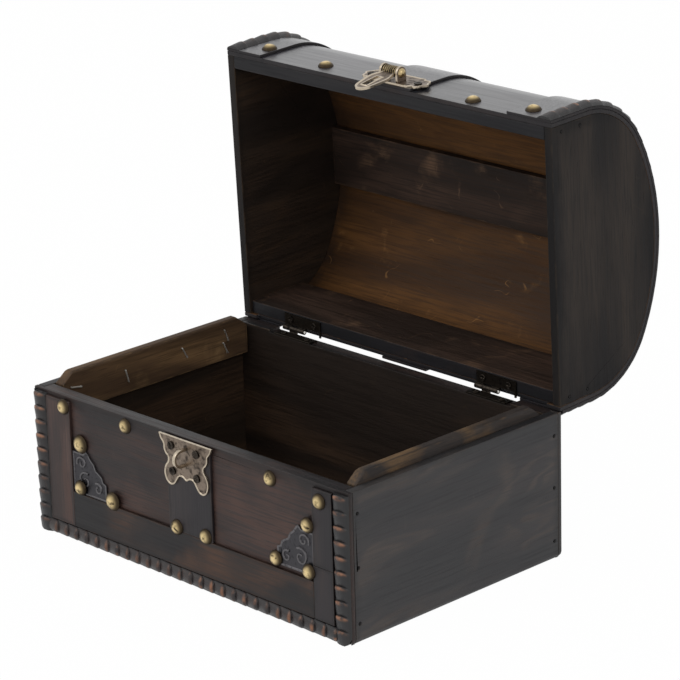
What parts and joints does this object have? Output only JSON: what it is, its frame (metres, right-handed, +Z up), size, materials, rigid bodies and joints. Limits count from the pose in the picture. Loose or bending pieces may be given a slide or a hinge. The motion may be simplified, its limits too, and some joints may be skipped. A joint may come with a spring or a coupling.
{
  "type": "wooden money box",
  "caption": "Small wooden chest money box with a domed lid on two hinges, studded straps, carved mouldings and a swinging hasp over a padlock staple; shown with the lid standing open.",
  "frame": {"origin": "centre of the chest's underside, on the surface that it stands on", "axes": "+X to the right along the front, the front faces -Y, +Z up; the rest pose has the lid open on its stop"},
  "size_m": [0.22, 0.2309, 0.2282],
  "materials": {
    "walnut_stain": "dark walnut stain, burnt darker along the edges, satin",
    "amber_wood": "amber stain, thin and uneven, satin",
    "antique_bronze": "antique bronze, dark in the hollows, rubbed bright on the edges",
    "antique_brass": "antique brass, tarnished",
    "dark_pewter": "dark pewter, stamped",
    "plain_steel": "plain wire steel",
    "black_iron": "blackened"
  },
  "bodies": {
    "chest": {"bottom_panel": "amber_wood", "front_panel": "walnut_stain", "back_panel": "walnut_stain", "left_end_panel": "walnut_stain", "right_end_panel": "walnut_stain", "left_lip_batten": "amber_wood", "right_lip_batten": "amber_wood", "batten_staples": "plain_steel", "chest_brads": "black_iron", "left_stile": "walnut_stain", "bottom_strip": "walnut_stain", "right_stile_upper": "walnut_stain", "right_stile_lower": "walnut_stain", "centre_strap": "walnut_stain", "left_moulding": "walnut_stain", "bottom_moulding": "walnut_stain", "right_moulding": "walnut_stain", "left_ornament": "dark_pewter", "right_ornament": "dark_pewter", "front_studs": "antique_brass", "front_large_studs": "antique_brass", "catch_plate": "antique_bronze", "catch_staple": "antique_bronze", "catch_screws": "antique_bronze", "left_hinge_chest_leaf": "antique_bronze", "right_hinge_chest_leaf": "antique_bronze", "hinge_chest_screws": "antique_bronze", "left_hinge_pin": "plain_steel", "right_hinge_pin": "plain_steel"},
    "lid": {"lid_left_end": "walnut_stain", "lid_right_end": "walnut_stain", "lid_front_rail": "walnut_stain", "lid_back_rail": "walnut_stain", "lid_brads": "black_iron", "lid_dome": "walnut_stain", "lid_stiffener": "walnut_stain", "lid_left_band": "walnut_stain", "lid_centre_band": "walnut_stain", "lid_right_band": "walnut_stain", "lid_left_moulding": "walnut_stain", "lid_right_moulding": "walnut_stain", "lid_studs": "antique_brass", "left_hinge_lid_leaf": "antique_bronze", "right_hinge_lid_leaf": "antique_bronze", "hinge_lid_screws": "antique_bronze", "hasp_plate": "antique_bronze", "hasp_screws": "antique_bronze", "hasp_pin": "antique_bronze"},
    "tongue": {"hasp_tongue": "antique_bronze"}
  },
  "joints": [
    {"name": "lid_hinge", "type": "hinge", "parent": "chest", "child": "lid", "pos_m": [0, 0.07095, 0.07575], "axis": [1, 0, 0], "range_deg": [0, 87.8]},
    {"name": "tongue_pivot", "type": "hinge", "parent": "lid", "child": "tongue", "pos_m": [0.003, 0.06987, 0.22497], "axis": [-1, 0, 0], "range_deg": [0, 150]}
  ]
}
